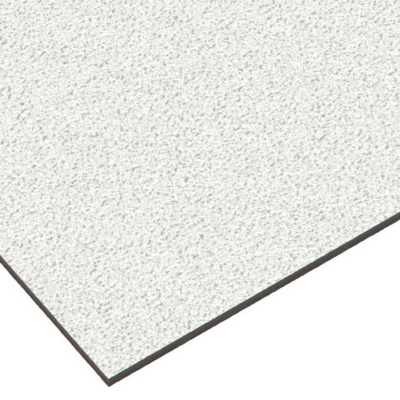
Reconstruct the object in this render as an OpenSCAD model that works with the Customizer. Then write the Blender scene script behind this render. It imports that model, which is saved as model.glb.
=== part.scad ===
// Lay-in suspended ceiling tile: a square pressed board with square-cut edges and a pitted face.
// It lies on its back with the finished face up. Sizes are in millimetres.
// The origin is the centre of the back, and +Z points out of the face.

/* [Board] */
// Spacing of the ceiling grid that the tile drops into
grid_module = 600; // [300:5:900]
// Play of the tile in one bay of the grid, both sides together
grid_play = 5; // [2:0.5:12]
// Thickness from the back to the finished face
board_t = 15; // [8:0.5:40]
// Width of the bevel that eases the edges of the finished face
arris = 0.6; // [0.2:0.1:3]

/* [Pits] */
// Mean spacing of the deep pits over the face
pit_pitch = 24; // [20:1:60]
// Width of the plain rim of the face, outside the field of pits
rim_w = 6; // [2:0.5:25]
// Plain face kept between two neighbouring pits
pit_land = 3; // [1:0.5:8]
// Half-width of the narrowest pit
pit_r_min = 0.8; // [0.5:0.1:1.4]
// Half-width of the widest pit
pit_r_max = 1.4; // [1.4:0.1:2.5]
// Depth of the shallowest pit
pit_depth_min = 0.8; // [0.3:0.1:1.5]
// Depth of the deepest pit
pit_depth_max = 2; // [1.5:0.1:6]
// Length of a pit over its width
pit_stretch = 1.6; // [1:0.1:2.5]
// Corners of a pit's torn outline
pit_corners = 6; // [5:1:9]
// How far a corner strays in or out, as a share of the half-width
pit_ragged = 0.3; // [0.05:0.05:0.4]
// Direction that the pits lie in, from the X edge, in degrees
pit_lie = 15; // [0:5:90]
// How far a pit may turn from that direction, in degrees
pit_turn = 40; // [5:5:90]
// Seed of the scatter, which gives another tile of the same make
pit_seed = 41; // [1:1:999]

/* [Hidden] */

// How far a cut runs on past the surface that it opens
over = 1;

tile_w = grid_module - grid_play;

// The pits stand one to a cell, strayed at random from the middle of the cell
pit_field = tile_w - 2 * rim_w;
pit_rows = floor(pit_field / pit_pitch);
pit_cell = pit_field / pit_rows;
pit_reach = pit_stretch * pit_r_max * (1 + pit_ragged);
pit_stray = (pit_cell - pit_land) / 2 - pit_reach;
pit_count = pit_rows * pit_rows;
stray_x = rands(-pit_stray, pit_stray, pit_count, pit_seed);
stray_y = rands(-pit_stray, pit_stray, pit_count, pit_seed + 1);
half_w = rands(pit_r_min, pit_r_max, pit_count, pit_seed + 2);
depth = rands(pit_depth_min, pit_depth_max, pit_count, pit_seed + 3);
turn = rands(pit_lie - pit_turn, pit_lie + pit_turn, pit_count, pit_seed + 4);
ragged = rands(1 - pit_ragged, 1 + pit_ragged, pit_count * pit_corners, pit_seed + 5);

function cell_middle(i) = (i + 0.5) * pit_cell - pit_field / 2;

// Corner k of the torn outline of pit n, about the pit's middle
function pit_corner(n, k) =
    let (angle = 360 * k / pit_corners, r = half_w[n] * ragged[n * pit_corners + k])
    [pit_stretch * r * cos(angle), r * sin(angle)];

// Pit n, sunk below z = 0
module pit(n) {
    translate([0, 0, -depth[n]])
        rotate([0, 0, turn[n]])
            linear_extrude(depth[n] + over)
                polygon([for (k = [0:pit_corners - 1]) pit_corner(n, k)]);
}

module pits() {
    for (i = [0:pit_rows - 1], j = [0:pit_rows - 1]) {
        n = i * pit_rows + j;
        translate([cell_middle(i) + stray_x[n], cell_middle(j) + stray_y[n], board_t]) pit(n);
    }
}

// The wedge that bevels one edge of the face, for all four edges
module arris_cuts() {
    for (side = [0:3])
        rotate([0, 0, 90 * side])
            translate([tile_w / 2, 0, board_t])
                rotate([90, 0, 0])
                    linear_extrude(tile_w + 2 * over, center = true)
                        polygon([[-arris, 0], [0, -arris], [over, -arris], [over, over], [-arris, over]]);
}

module tile() {
    color("whitesmoke")
        difference() {
            translate([-tile_w / 2, -tile_w / 2, 0]) cube([tile_w, tile_w, board_t]);
            arris_cuts();
            pits();
        }
}

tile();
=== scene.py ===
import math

import bmesh
import bpy
import numpy as np
from mathutils import Color, Matrix, Vector
from mathutils.geometry import delaunay_2d_cdt


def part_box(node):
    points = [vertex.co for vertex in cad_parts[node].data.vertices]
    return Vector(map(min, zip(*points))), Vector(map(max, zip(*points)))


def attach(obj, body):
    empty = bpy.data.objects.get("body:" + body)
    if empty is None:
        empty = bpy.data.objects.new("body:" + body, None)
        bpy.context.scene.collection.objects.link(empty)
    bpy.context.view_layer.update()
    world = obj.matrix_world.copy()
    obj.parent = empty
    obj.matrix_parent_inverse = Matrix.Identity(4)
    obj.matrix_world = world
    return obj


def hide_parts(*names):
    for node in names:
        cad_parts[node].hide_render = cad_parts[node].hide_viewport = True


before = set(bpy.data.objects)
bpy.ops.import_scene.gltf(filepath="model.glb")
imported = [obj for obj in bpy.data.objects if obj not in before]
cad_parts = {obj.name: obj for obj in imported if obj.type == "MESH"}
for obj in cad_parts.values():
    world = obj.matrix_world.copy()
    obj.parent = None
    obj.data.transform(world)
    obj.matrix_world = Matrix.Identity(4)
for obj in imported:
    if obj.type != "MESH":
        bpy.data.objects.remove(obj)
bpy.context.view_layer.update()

mm = 0.001
boardLow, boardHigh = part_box("tile")
halfWide = boardHigh.x / mm               # the board is square and centred, and sizes below are in mm
boardThick = boardHigh.z / mm
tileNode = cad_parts["tile"]


# Camera: a long lens that looks down on the near corner of the face
cameraSetup = {
    "azimuth": -35.77,                    # degrees
    "elevation": 50.65,
    "focalPixels": 3500,                  # focal length in pixels of the frame
    "framePixels": 400,
    "sensorWide": 36,                     # mm
    "distance": 3.711,                    # metres from the near corner of the face
    "cornerPixel": (108.36, 379.11),      # where that corner stands in the frame
}


def makeCamera(setup):
    turn = math.radians(setup["azimuth"])
    rise = math.radians(setup["elevation"])
    right = Vector((math.cos(turn), math.sin(turn), 0))
    back = Vector((math.sin(turn) * math.cos(rise), -math.cos(turn) * math.cos(rise), math.sin(rise)))
    up = back.cross(right)
    corner = Vector((boardLow.x, boardLow.y, boardHigh.z))
    perPixel = setup["distance"] / setup["focalPixels"]
    middle = setup["framePixels"] / 2
    across, below = ((pixel - middle) * perPixel for pixel in setup["cornerPixel"])
    lens = bpy.data.cameras.new("camera")
    lens.sensor_width = setup["sensorWide"]
    lens.lens = setup["focalPixels"] / setup["framePixels"] * setup["sensorWide"]
    camera = bpy.data.objects.new("camera", lens)
    place = corner + back * setup["distance"] - right * across + up * below
    camera.matrix_world = Matrix.Translation(place) @ Matrix((right, up, back)).transposed().to_4x4()
    bpy.context.scene.collection.objects.link(camera)
    bpy.context.scene.camera = camera


makeCamera(cameraSetup)
print("camera set")


# Shader maths: a wire is a socket that sums can be written with
class Wire:
    def __init__(self, finish, socket):
        self.finish = finish
        self.socket = socket

    def maths(self, operation, first, second):
        return self.finish.node("Math", {"operation": operation}, {0: first, 1: second})

    def __add__(self, other):
        return self.maths("ADD", self, other)

    def __radd__(self, other):
        return self.maths("ADD", other, self)

    def __sub__(self, other):
        return self.maths("SUBTRACT", self, other)

    def __rsub__(self, other):
        return self.maths("SUBTRACT", other, self)

    def __mul__(self, other):
        return self.maths("MULTIPLY", self, other)

    def __rmul__(self, other):
        return self.maths("MULTIPLY", other, self)


noiseMiddle = 0.5                         # what a noise swings about
noiseRoughness = 0.55                     # how much its finer lumps show


class Finish:
    def __init__(self, tree):
        self.tree = tree
        tree.nodes.clear()

    # any node, from its type, its settings and the values or wires of its sockets
    def node(self, kind, settings=None, sockets=None, output=0):
        made = self.tree.nodes.new("ShaderNode" + kind)
        for name, value in (settings or {}).items():
            setattr(made, name, value)
        for name, value in (sockets or {}).items():
            if isinstance(value, Wire):
                self.tree.links.new(value.socket, made.inputs[name])
            else:
                made.inputs[name].default_value = value
        return Wire(self, made.outputs[output]) if made.outputs else None

    # a smooth step from 0 at low to 1 at high
    def step(self, value, low, high):
        sockets = {"Value": value, "From Min": low, "From Max": high}
        return self.node("MapRange", {"interpolation_type": "SMOOTHSTEP"}, sockets)

    # sockets 6 and 7 of a Mix node are its colours, and output 2 is the colour that they give
    def blend(self, share, first, second):
        return self.node("Mix", {"data_type": "RGBA"}, {0: share, 6: first, 7: second}, 2)

    # place on the piece, in mm, turned about Z by some degrees and then stretched by scale
    def place(self, scale=(1, 1, 1), turn=0):
        own = self.node("TexCoord", output="Object")
        if turn:
            turned = {"Vector": own, "Angle": -math.radians(turn)}
            own = self.node("VectorRotate", {"rotation_type": "Z_AXIS"}, turned)
        factor = tuple(s / mm for s in scale)
        return self.node("VectorMath", {"operation": "MULTIPLY"}, {0: own, 1: factor})

    def along(self, axis):
        return self.node("SeparateXYZ", sockets={0: self.place()}, output=axis)

    # noise with lumps about size mm wide, and longer where the scale is low
    def noise(self, size, detail, scale=(1, 1, 1), turn=0):
        sockets = {"Vector": self.place(scale, turn), "Scale": 1 / size, "Detail": detail}
        sockets["Roughness"] = noiseRoughness
        return self.node("TexNoise", {"noise_dimensions": "3D"}, sockets)

    # distance to the middle of the nearest of many scattered grains, size mm apart
    def grains(self, size):
        sockets = {"Vector": self.place(), "Scale": 1 / size}
        return self.node("TexVoronoi", {"feature": "F1"}, sockets)

    def bump(self, height, strength, depth):
        sockets = {"Height": height, "Strength": strength, "Distance": depth * mm}
        return self.node("Bump", sockets=sockets)

    def surface(self, **sockets):
        named = {name.replace("_", " "): value for name, value in sockets.items()}
        shader = self.node("BsdfPrincipled", sockets=named)
        self.node("OutputMaterial", sockets={"Surface": shader})


# a colour written as screen values from 0 to 255
def colour(red, green, blue):
    screen = Color([value / 255 for value in (red, green, blue)])
    return (*screen.from_srgb_to_scene_linear(), 1)


def newFinish(name):
    material = bpy.data.materials.new(name)
    material.use_nodes = True
    return material, Finish(material.node_tree)


# White matt paint on the pitted face, with shade painted into its pits and pores
whiteFace = {
    "paint": colour(253, 254, 249),
    "thinPaint": colour(233, 234, 229),   # where the paint is thinner, in small patches
    "patches": {"size": 2.2, "detail": 3},
    "patchTone": (0.42, 0.66),            # noise at which a patch begins, and at which it is full
    "pitShadeGrey": colour(172, 172, 166),     # floor of a pit: painted shade that deepens with depth, partly thinner paint there
    "pitShadeDepth": (0.1, 1.8),               # mm below the face where that painted shade begins, and where it is full
    "poreShadeGrey": colour(172, 172, 166),    # painted shade in the pores, partly thinner paint there; finer than the pits, longer along the lie of the grain
    "pores": {"size": 1.55, "detail": 2, "scale": (0.75, 1.25, 1)},
    "poreShadeTone": (0.25, 0.5),              # noise at which a pore's painted shade is full, and at which it ends
    "bumpStrength": 1,
    "bumpDepth": 1.1,                     # mm
    "rough": 0.86,
    "roughSpread": 0.12,
    "specular": 0.25,
}


def paintFace(spec, grainLie):
    material, f = newFinish("whiteFace")
    # painted shade in the pits: the face greys with depth below it, partly for the thinner paint in the
    # hollows
    pits = f.step(boardThick - f.along("Z"), *spec["pitShadeDepth"])
    patches = f.step(f.noise(**spec["patches"]), *spec["patchTone"])
    pores = f.noise(**spec["pores"], turn=grainLie)
    coat = f.blend(patches, spec["paint"], spec["thinPaint"])
    # painted shade in the pores, where the bump sinks the face, partly thinner paint there
    coat = f.blend(f.step(pores, *spec["poreShadeTone"]), spec["poreShadeGrey"], coat)
    f.surface(
        Base_Color=f.blend(pits, coat, spec["pitShadeGrey"]),
        Roughness=spec["rough"] + (pores - noiseMiddle) * spec["roughSpread"],
        Specular_IOR_Level=spec["specular"],
        Normal=f.bump(pores, spec["bumpStrength"], spec["bumpDepth"]),
    )
    return material


# Bare cut edge of the board: dark pressed fibre, slate towards the face and brown towards the back
cutEdge = {
    "slate": colour(70, 80, 87),
    "litSideGrey": colour(95, 87, 83),       # painted light: lighter in the slate's place on the edge at low X, as if lit from that side
    "litSideReach": 1,                       # mm in from that edge where the slate is back
    "brown": colour(78, 58, 46),
    "dullBrown": colour(83, 68, 55),      # in patches along the brown
    "patches": {"size": 17, "detail": 2},
    "patchTone": (0.45, 0.7),
    "turnsAt": (0.22, 0.85),              # share of the thickness over which brown turns to slate
    "clouds": {"size": 3.5, "detail": 3},
    "cloudPull": 0.3,                     # how far the turn wanders up and down, as a share of the thickness
    "paleFibre": colour(120, 111, 102),   # the fibres lie flat in the board
    "fibres": {"size": 1.1, "detail": 3, "scale": (0.22, 0.22, 1)},
    "fibreTone": (0.58, 0.8),
    "fibreShare": 0.6,
    # painted shadow in the pores of the cut edge, where the bump sinks it
    "poreShadow": colour(38, 34, 32),
    "poreApart": 1.6,                     # mm
    "poreShadeTone": (0.12, 0.42),
    "poreShare": 0.6,
    "poreDepth": 0.4,                     # depth of the pores against that of the fibres
    "bumpStrength": 0.5,
    "bumpDepth": 0.4,                     # mm
    "paintLip": (0.6, 0.0),               # mm below the face where its paint begins to lap over, and is full
    "lipWander": 0.5,                     # mm
    "rough": 0.92,
    "roughSpread": 0.1,
    "specular": 0.2,
}


def paintEdge(spec):
    material, f = newFinish("cutEdge")
    height = f.along("Z")
    cloud = f.noise(**spec["clouds"]) - noiseMiddle
    fibres = f.noise(**spec["fibres"])
    pores = f.grains(spec["poreApart"])
    # painted light: the edge at low X is painted lighter than the rest, as if lit from that side
    awayFromLitSide = f.step(f.along("X"), -halfWide, spec["litSideReach"] - halfWide)
    upper = f.blend(awayFromLitSide, spec["litSideGrey"], spec["slate"])
    patches = f.step(f.noise(**spec["patches"]), *spec["patchTone"])
    lower = f.blend(patches, spec["brown"], spec["dullBrown"])
    tone = f.step(height * (1 / boardThick) + cloud * spec["cloudPull"], *spec["turnsAt"])
    base = f.blend(tone, lower, upper)
    base = f.blend(f.step(fibres, *spec["fibreTone"]) * spec["fibreShare"], base, spec["paleFibre"])
    # painted shadow in the edge's pores
    base = f.blend((1 - f.step(pores, *spec["poreShadeTone"])) * spec["poreShare"], base, spec["poreShadow"])
    lapFrom, lapTo = (boardThick - below for below in spec["paintLip"])
    lip = f.step(height + cloud * spec["lipWander"], lapFrom, lapTo)
    f.surface(
        Base_Color=f.blend(lip, base, whiteFace["paint"]),
        Roughness=spec["rough"] + cloud * spec["roughSpread"],
        Specular_IOR_Level=spec["specular"],
        Normal=f.bump(fibres + pores * spec["poreDepth"], spec["bumpStrength"], spec["bumpDepth"]),
    )
    return material


# Bare back of the board: the same fibre, felted and a little lighter
bareBack = {
    "board": colour(104, 92, 82),
    "dark": colour(88, 77, 69),           # in clouds
    "clouds": {"size": 30, "detail": 4},
    "cloudTone": (0.3, 0.75),
    "fleck": colour(138, 126, 114),
    "felt": {"size": 1.6, "detail": 4},
    "fleckTone": (0.5, 0.72),
    "fleckShare": 0.6,
    "bumpStrength": 0.5,
    "bumpDepth": 0.4,                     # mm
    "rough": 0.94,
    "roughSpread": 0.08,
    "specular": 0.2,
}


def paintBack(spec):
    material, f = newFinish("bareBack")
    clouds = f.step(f.noise(**spec["clouds"]), *spec["cloudTone"])
    felt = f.noise(**spec["felt"])
    flecks = f.step(felt, *spec["fleckTone"]) * spec["fleckShare"]
    base = f.blend(clouds, spec["board"], spec["dark"])
    f.surface(
        Base_Color=f.blend(flecks, base, spec["fleck"]),
        Roughness=spec["rough"] + (felt - noiseMiddle) * spec["roughSpread"],
        Specular_IOR_Level=spec["specular"],
        Normal=f.bump(felt, spec["bumpStrength"], spec["bumpDepth"]),
    )
    return material


# The frame's own mesh gives the bevel and the deep pits
frameMesh = {
    "weld": 0.001,                        # mm within which points are one
    "floorFacing": 0.9,                   # least Z of the normal of a pit's floor
    "floorBelow": 0.1,                    # least mm from the face down to a pit's floor
    "edgeWithin": 0.01,                   # mm within which a point is on the board's edge
}


def readBevel(node, spec):
    outermost = boardLow.x + spec["edgeWithin"] * mm
    edge = [v.co.z for v in node.data.vertices if v.co.x < outermost]
    return boardThick - max(edge) / mm


# middle, outline corners and depth of each deep pit, read off the pits' floors
def readDeepPits(node, spec):
    shape = bmesh.new()
    shape.from_mesh(node.data)
    bmesh.ops.remove_doubles(shape, verts=shape.verts, dist=spec["weld"] * mm)
    top = boardHigh.z - spec["floorBelow"] * mm
    facingUp = [face for face in shape.faces if face.normal.z > spec["floorFacing"]]
    floors = {face for face in facingUp if face.calc_center_median().z < top}
    pits = []
    while floors:
        reached = [floors.pop()]
        corners = set()
        while reached:
            face = reached.pop()
            corners.update(face.verts)
            beside = {other for edge in face.edges for other in edge.link_faces} & floors
            floors -= beside
            reached.extend(beside)
        ring = np.array(sorted(tuple(v.co) for v in corners)) / mm
        middle = ring[:, :2].mean(axis=0)
        arms = ring[:, :2] - middle
        arms = arms[np.argsort(np.arctan2(arms[:, 1], arms[:, 0]))]
        pits.append((middle, arms, boardThick - ring[0, 2]))
    shape.free()
    return sorted(pits, key=lambda pit: tuple(pit[0]))


# The tile: one closed mesh. The crumbly face between the deep pits is a field of scattered grains,
# each sunk to its own depth
tileMake = {
    "seed": 7,
    "grainLong": 2.44,                    # mm between grains along their lie
    "grainWide": 1.65,                    # and across it
    "grainLie": 21,                       # degrees from the X edge
    "grainStray": 0.27,                   # how far a grain strays, as a share of those spacings
    "grainDepth": 0.235,                  # mean depth of the hollows between the crumbs
    "grainShape": 1.1,                    # low: a few deep hollows, high: many even ones
    "tearShare": 0.022,                   # share of grains where the face is torn open
    "tearOn": 0.15,                       # how often a tear runs on to the next grain
    "tearDepth": (1.3, 1.8),
    "deepest": 1.8,
    "runOn": 0.09,                        # how far a hollow shares its depth with the next along its lie
    "evenness": 0.7,                      # how far the press evens out the face over a wider stretch
    "evenOver": (3, 1),                   # grains to each side in that stretch, across the lie and along it
    "rimLift": 1.35,                      # how far the crumbs beside a hollow stand up, as a share of it
    "endLift": 0.1,                       # and those at its ends
    "liftReach": 2,                       # grains from a hollow to those crumbs
    "clear": 0.5,                         # mm that grains keep off the face's rim and off the deep pits
    "pitTaper": 0.72,                     # a deep pit's floor against its mouth
    "pitFall": (0.6, 0.9),                # how far a deep pit's floor falls, as a share of its depth
    "lipDrop": 0.25,                      # unevenness of the face's rim and of the mouths of the deep pits
    "edgePoints": 200,                    # points along each edge
    "edgeRows": 3,
    "edgeRough": 0.45,                    # how deep the cut edge is roughened
    "backPoints": 900,
    "backRim": 2,                         # mm of the back's rim that stay flat
    "backRough": 0.25,
    "sharpAngle": 55,                     # degrees past which an edge stays sharp
}


def deepPitPoints(pits, spec, rng):
    points = []
    for middle, arms, depth in pits:
        sunk = boardThick - depth * rng.uniform(*spec["pitFall"], len(arms) + 1)
        rims = boardThick - spec["lipDrop"] * rng.random(len(arms))
        points.append(np.column_stack((middle + arms, rims)))
        points.append(np.column_stack((middle + arms * spec["pitTaper"], sunk[1:])))
        points.append(np.array([[*middle, sunk[0]]]))
    return np.concatenate(points)


# mean of the grains that stand some steps to either side
def besides(depth, steps, axis):
    return (np.roll(depth, steps, axis) + np.roll(depth, -steps, axis)) / 2


# how deep each grain lies, in rows across the lie and places along it
def grainDepths(shape, spec, rng):
    depth = rng.gamma(spec["grainShape"], spec["grainDepth"] / spec["grainShape"], shape)
    torn = rng.random(shape) < spec["tearShare"]
    torn |= np.roll(torn, 1, axis=1) & (rng.random(shape) < spec["tearOn"])
    depth += torn * rng.uniform(*spec["tearDepth"], shape)
    depth += spec["runOn"] * (besides(depth, 1, axis=1) - depth)
    rows, places = (range(-n, n + 1) for n in spec["evenOver"])
    stretch = np.mean([np.roll(depth, (i, j), (0, 1)) for i in rows for j in places], axis=0)
    depth += spec["evenness"] * (depth.mean() - stretch)
    rims = spec["rimLift"] * (depth - besides(depth, spec["liftReach"], axis=0))
    ends = spec["endLift"] * (depth - besides(depth, spec["liftReach"], axis=1))
    return np.clip(depth + rims + ends, 0, spec["deepest"])


# grains of the face on a strayed lattice, clear of the deep pits
def grainPoints(deepPits, inside, spec, rng):
    reach = math.hypot(inside, inside)
    rows = math.ceil(reach / spec["grainWide"])
    places = math.ceil(reach / spec["grainLong"])
    row, place = np.meshgrid(np.arange(-rows, rows + 1), np.arange(-places, places + 1), indexing="ij")
    along = (place + row % 2 / 2 + spec["grainStray"] * rng.uniform(-1, 1, row.shape)) * spec["grainLong"]
    across = (row + spec["grainStray"] * rng.uniform(-1, 1, row.shape)) * spec["grainWide"]
    lie = math.radians(spec["grainLie"])
    x = along * math.cos(lie) - across * math.sin(lie)
    y = along * math.sin(lie) + across * math.cos(lie)
    grains = np.stack((x, y, boardThick - grainDepths(row.shape, spec, rng)), axis=-1).reshape(-1, 3)
    grains = grains[(np.abs(grains[:, :2]) < inside).all(axis=1)]
    keep = np.ones(len(grains), bool)
    for middle, arms, _ in deepPits:
        lengths = np.linalg.norm(arms, axis=1) + spec["clear"]
        near = np.abs(grains[:, :2] - middle).max(axis=1) < lengths.max()
        offset = grains[near, :2] - middle
        bearing = np.arctan2(offset[:, 1], offset[:, 0])
        mouth = np.interp(bearing, np.arctan2(arms[:, 1], arms[:, 0]), lengths, period=2 * math.pi)
        keep[near] &= np.linalg.norm(offset, axis=1) > mouth
    return grains[keep]


# a closed loop of points round a square, anticlockwise from its low corner
def squareLoop(half, perSide):
    run = np.linspace(-half, half, perSide, endpoint=False)
    rim = np.full(perSide, half)
    sides = [(run, -rim), (rim, run), (-run, rim), (-rim, -run)]
    return np.concatenate([np.column_stack(side) for side in sides])


# the bevel, the cut edge and the back's rim, as loops from the face down
def edgeLoops(bevel, spec, rng):
    heights = np.concatenate(([boardThick], np.linspace(boardThick - bevel, 0, spec["edgeRows"] + 1)))
    loops = []
    for row, height in enumerate(heights):
        half = halfWide - bevel if row == 0 else halfWide
        loop = squareLoop(half, spec["edgePoints"])
        loop *= 1 - spec["edgeRough"] * rng.random((len(loop), 1)) / half
        level = np.full(len(loop), height)
        if row == 0:
            level -= spec["lipDrop"] * rng.random(len(loop))
        loops.append(np.column_stack((loop, level)))
    return loops


def backPoints(spec, rng):
    flatTo = halfWide - spec["backRim"]
    flat = rng.uniform(-flatTo, flatTo, (spec["backPoints"], 2))
    return np.column_stack((flat, spec["backRough"] * rng.random(len(flat))))


onlyInside = 1                            # the triangulation's mode that leaves out what lies beyond a loop
pointsApart = 1e-6                        # mm within which it takes points as one


# triangles over a loop and the points inside it
def coverLoop(loop, inner):
    flat = np.concatenate((loop, inner))
    edges = [(i, (i + 1) % len(loop)) for i in range(len(loop))]
    made = delaunay_2d_cdt([Vector(p) for p in flat], edges, [], onlyInside, pointsApart)
    faces, origins = made[2], made[3]
    source = [origin[0] for origin in origins]
    return np.array([[source[i] for i in face] for face in faces])


# row and place of each four-sided face between the loops, from the face down
def sidePlaces(rows, ring):
    return np.divmod(np.arange(rows * ring), ring)


# Flat map of the tile: the face in one square, the four edges as strips above it, the back beside it
mapLayout = {
    "margin": 0.005,
    "face": 0.86,                         # side of the face's square
    "stripGap": 0.004,
    "back": 0.12,                         # side of the back's square
}


def layOut(mesh, points, faceTris, backTris, rows, perSide, spec):
    margin, face = spec["margin"], spec["face"]
    beyond = 2 * margin + face
    facePerMm, backPerMm = (side / (2 * halfWide) for side in (face, spec["back"]))
    faceMap = (points[faceTris.ravel(), :2] + halfWide) * facePerMm + margin
    backMap = (points[backTris.ravel(), :2] + halfWide) * backPerMm + (beyond, margin)
    row, i = sidePlaces(rows, 4 * perSide)
    side, step = np.divmod(i, perSide)
    strip = boardThick * facePerMm
    low = beyond + side * (strip + spec["stripGap"])
    left, right = (margin + at / perSide * face for at in (step, step + 1))
    top, bottom = (low + strip * (1 - at / rows) for at in (row, row + 1))
    corners = [(left, top), (left, bottom), (right, bottom), (right, top)]
    sidesMap = np.stack([np.column_stack(corner) for corner in corners], axis=1).reshape(-1, 2)
    flat = mesh.uv_layers.new(name="OFBake")
    flat.data.foreach_set("uv", np.concatenate((faceMap, sidesMap, backMap)).ravel())


def makeTile(spec):
    rng = np.random.default_rng(spec["seed"])
    bevel = readBevel(tileNode, frameMesh)
    deepPits = readDeepPits(tileNode, frameMesh)
    faceHalf = halfWide - bevel
    pitPoints = deepPitPoints(deepPits, spec, rng)
    inner = np.concatenate((pitPoints, grainPoints(deepPits, faceHalf - spec["clear"], spec, rng)))
    loops = edgeLoops(bevel, spec, rng)
    under = backPoints(spec, rng)

    # one list of points: the loops, then the face's and the back's own points
    points = np.concatenate(loops + [inner, under])
    ring = len(loops[0])
    rows = len(loops) - 1
    faceFrom = len(loops) * ring
    backFrom = faceFrom + len(inner)
    faceTris = coverLoop(squareLoop(faceHalf, spec["edgePoints"]), inner[:, :2])
    faceTris = np.where(faceTris < ring, faceTris, faceTris - ring + faceFrom)
    backTris = coverLoop(squareLoop(halfWide, spec["edgePoints"]), under[:, :2])[:, ::-1]
    backTris = np.where(backTris < ring, backTris + rows * ring, backTris - ring + backFrom)
    row, i = sidePlaces(rows, ring)
    upper, lower, after = row * ring, (row + 1) * ring, (i + 1) % ring
    sides = np.column_stack((upper + i, lower + i, lower + after, upper + after))

    mesh = bpy.data.meshes.new("ceiling_tile")
    mesh.from_pydata((points * mm).tolist(), [], faceTris.tolist() + sides.tolist() + backTris.tolist())
    finishes = (paintFace(whiteFace, spec["grainLie"]), paintEdge(cutEdge), paintBack(bareBack))
    slots = np.repeat(range(len(finishes)), (len(faceTris), len(sides), len(backTris)))
    mesh.polygons.foreach_set("material_index", slots.astype(np.int32))
    mesh.polygons.foreach_set("use_smooth", np.ones(len(slots), bool))
    mesh.set_sharp_from_angle(angle=math.radians(spec["sharpAngle"]))
    layOut(mesh, points, faceTris, backTris, rows, spec["edgePoints"], mapLayout)
    for finish in finishes:
        mesh.materials.append(finish)
    mesh.validate()
    tile = bpy.data.objects.new("ceiling_tile", mesh)
    bpy.context.scene.collection.objects.link(tile)
    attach(tile, "root")
    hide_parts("tile")
    triangles = len(faceTris) + 2 * len(sides) + len(backTris)
    print("tile made:", len(deepPits), "deep pits,", triangles, "triangles")


makeTile(tileMake)


# Studio: a white floor, even light all round and one soft lamp over the camera's left shoulder
studio = {
    "floorHalf": 20,                      # metres
    "floorDrop": 0.05,                    # mm, so that the floor and the board's back don't lie in one plane
    "floorPaint": colour(230, 230, 230),
    "floorSeen": 0.35,                    # share of the floor's look that takes the shadow
    "floorSpare": 0.01,                   # light to spare, so that the bare floor is full white
    "lampLevel": 0.585,                   # the lamp's light on a level surface, as a share of full white
    "aroundLight": 0.473,                 # and that from all round
    "lampAzimuth": -45,                   # degrees
    "lampElevation": 55,
    "lampAngle": 20,                      # how wide the lamp looks, for soft shadows
}


# 1 for what the camera sees, straight or in a reflection
def seen(f):
    kinds = ("Is Camera Ray", "Is Glossy Ray", "Is Transmission Ray")
    straight, mirrored, through = (f.node("LightPath", output=kind) for kind in kinds)
    return f.node("Clamp", sockets={"Value": straight + mirrored + through})


def makeFloor(spec):
    half = spec["floorHalf"]
    level = boardLow.z - spec["floorDrop"] * mm
    mesh = bpy.data.meshes.new("floor")
    corners = [(-half, -half, level), (half, -half, level), (half, half, level), (-half, half, level)]
    mesh.from_pydata(corners, [], [(0, 1, 2, 3)])
    material, f = newFinish("floor")
    shade = spec["floorSeen"]
    plain = f.node("BsdfDiffuse", sockets={"Color": spec["floorPaint"]})
    shadowed = f.node("BsdfDiffuse", sockets={"Color": (shade, shade, shade, 1)})
    white = f.node("Emission", sockets={"Strength": 1 - shade + spec["floorSpare"]})
    pale = f.node("AddShader", sockets={0: shadowed, 1: white})
    mixed = f.node("MixShader", sockets={0: seen(f), 1: plain, 2: pale})
    f.node("OutputMaterial", sockets={"Surface": mixed})
    mesh.materials.append(material)
    floor = bpy.data.objects.new("floor", mesh)
    bpy.context.scene.collection.objects.link(floor)


def makeLight(spec):
    world = bpy.data.worlds.new("studio")
    world.use_nodes = True
    bpy.context.scene.world = world
    f = Finish(world.node_tree)
    strength = seen(f) * (1 - spec["aroundLight"]) + spec["aroundLight"]
    around = f.node("Background", sockets={"Color": (1, 1, 1, 1), "Strength": strength})
    f.node("OutputWorld", sockets={"Surface": around})
    rise = math.radians(spec["lampElevation"])
    lamp = bpy.data.lights.new("lamp", "SUN")
    lamp.energy = spec["lampLevel"] * math.pi / math.sin(rise)
    lamp.angle = math.radians(spec["lampAngle"])
    holder = bpy.data.objects.new("lamp", lamp)
    holder.rotation_euler = (math.pi / 2 - rise, 0, math.radians(spec["lampAzimuth"]))
    bpy.context.scene.collection.objects.link(holder)


makeFloor(studio)
makeLight(studio)
bpy.context.scene.view_settings.view_transform = "Standard"
print("studio lit")
